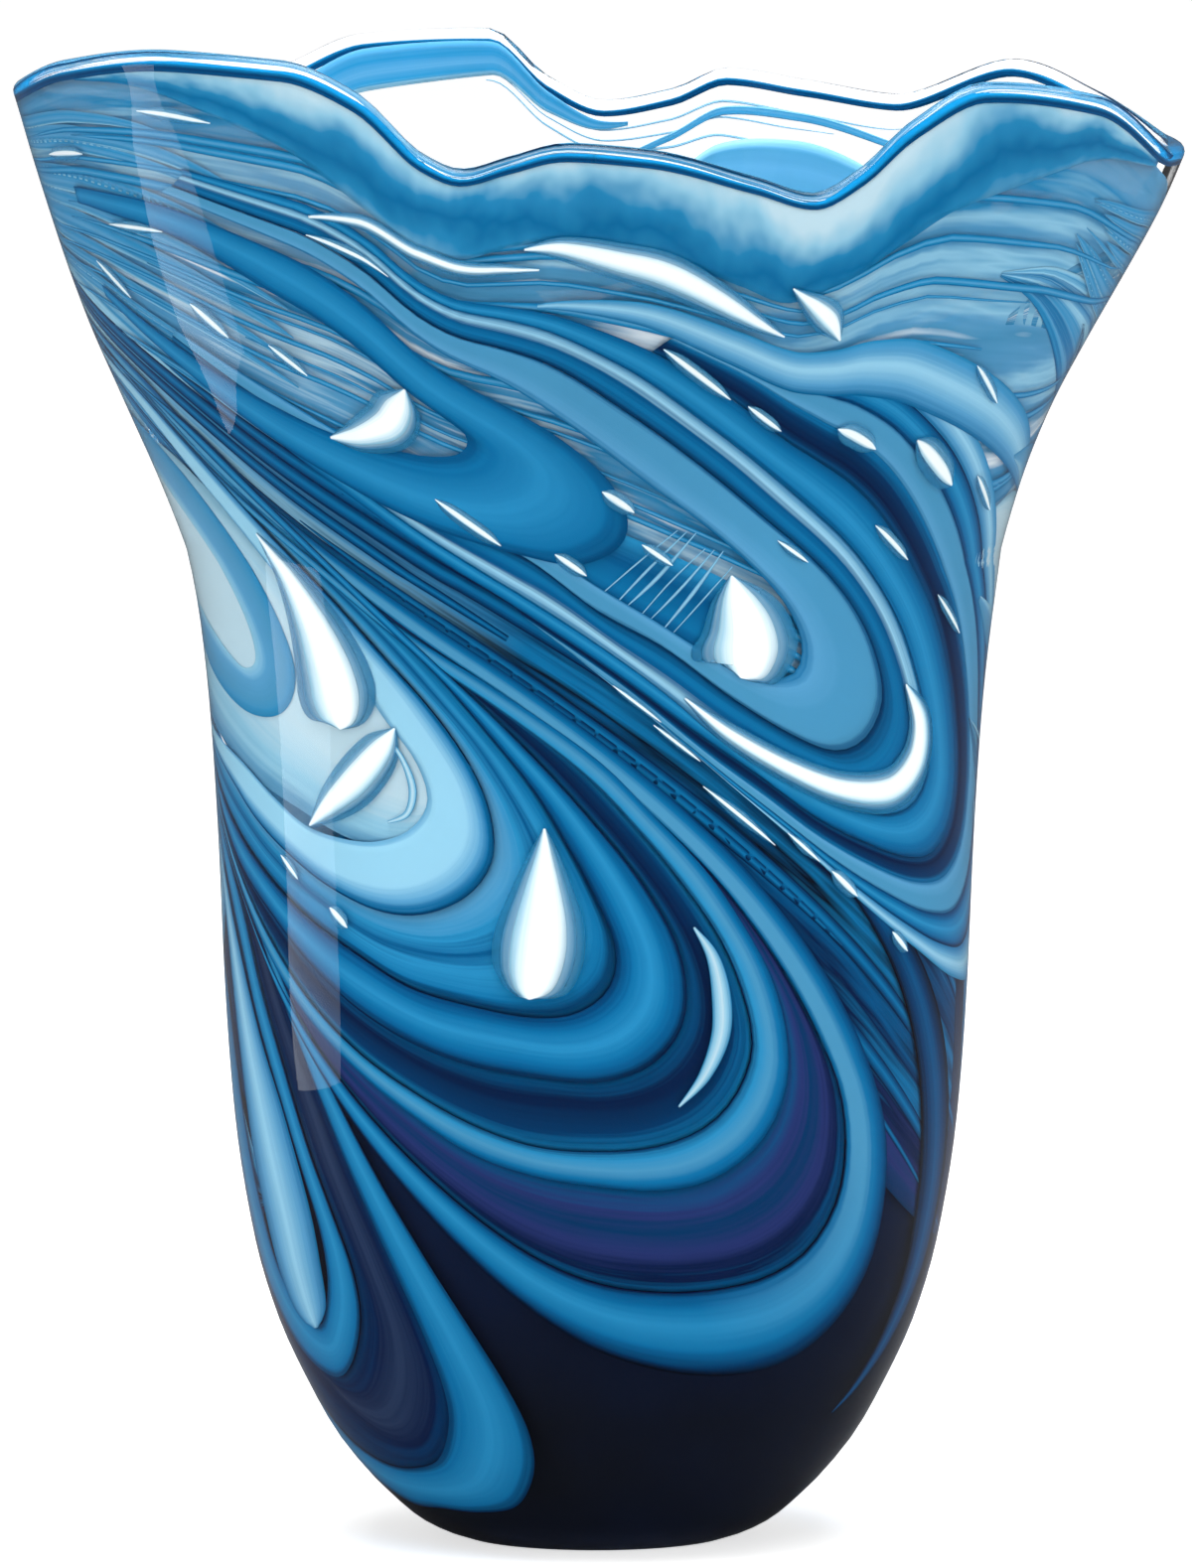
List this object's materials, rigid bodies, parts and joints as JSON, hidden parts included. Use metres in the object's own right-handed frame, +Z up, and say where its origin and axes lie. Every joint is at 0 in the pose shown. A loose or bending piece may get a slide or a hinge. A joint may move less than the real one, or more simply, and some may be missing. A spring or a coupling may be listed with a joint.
{
  "type": "art glass vase",
  "caption": "Hand-blown glass vase with a flared ruffled rim, a small flat foot and combed blue colour trails under a clear outer gather.",
  "frame": {"origin": "centre of the flat ground foot, on the surface the vase stands on", "axes": "+Z up along the vase's height, -Y towards the viewer of the picture, +X to that viewer's right"},
  "size_m": [0.2348, 0.2109, 0.3041],
  "materials": {
    "clear_glass": "clear polished soda glass",
    "cobalt_glass": "dense cobalt to black colour overlay",
    "pale_blue_glass": "milky pale blue colour trail",
    "turquoise_glass": "translucent mid blue colour trail",
    "grey_blue_glass": "smoky grey-blue colour trail"
  },
  "bodies": {
    "root": {"cobalt_overlay": "cobalt_glass", "inner_bubble": "clear_glass", "outer_casing": "clear_glass", "trail_blue_drop_back": "turquoise_glass", "trail_blue_drop_front": "turquoise_glass", "trail_blue_finger_back": "turquoise_glass", "trail_blue_finger_front": "turquoise_glass", "trail_blue_outer_back": "turquoise_glass", "trail_blue_outer_front": "turquoise_glass", "trail_blue_second_back": "turquoise_glass", "trail_blue_second_front": "turquoise_glass", "trail_blue_upper_back": "turquoise_glass", "trail_blue_upper_front": "turquoise_glass", "trail_grey_drop_back": "grey_blue_glass", "trail_grey_drop_front": "grey_blue_glass", "trail_pale_finger_back": "pale_blue_glass", "trail_pale_finger_front": "pale_blue_glass", "trail_pale_third_back": "pale_blue_glass", "trail_pale_third_front": "pale_blue_glass", "trail_pale_window_back": "pale_blue_glass", "trail_pale_window_front": "pale_blue_glass"}
  },
  "joints": []
}
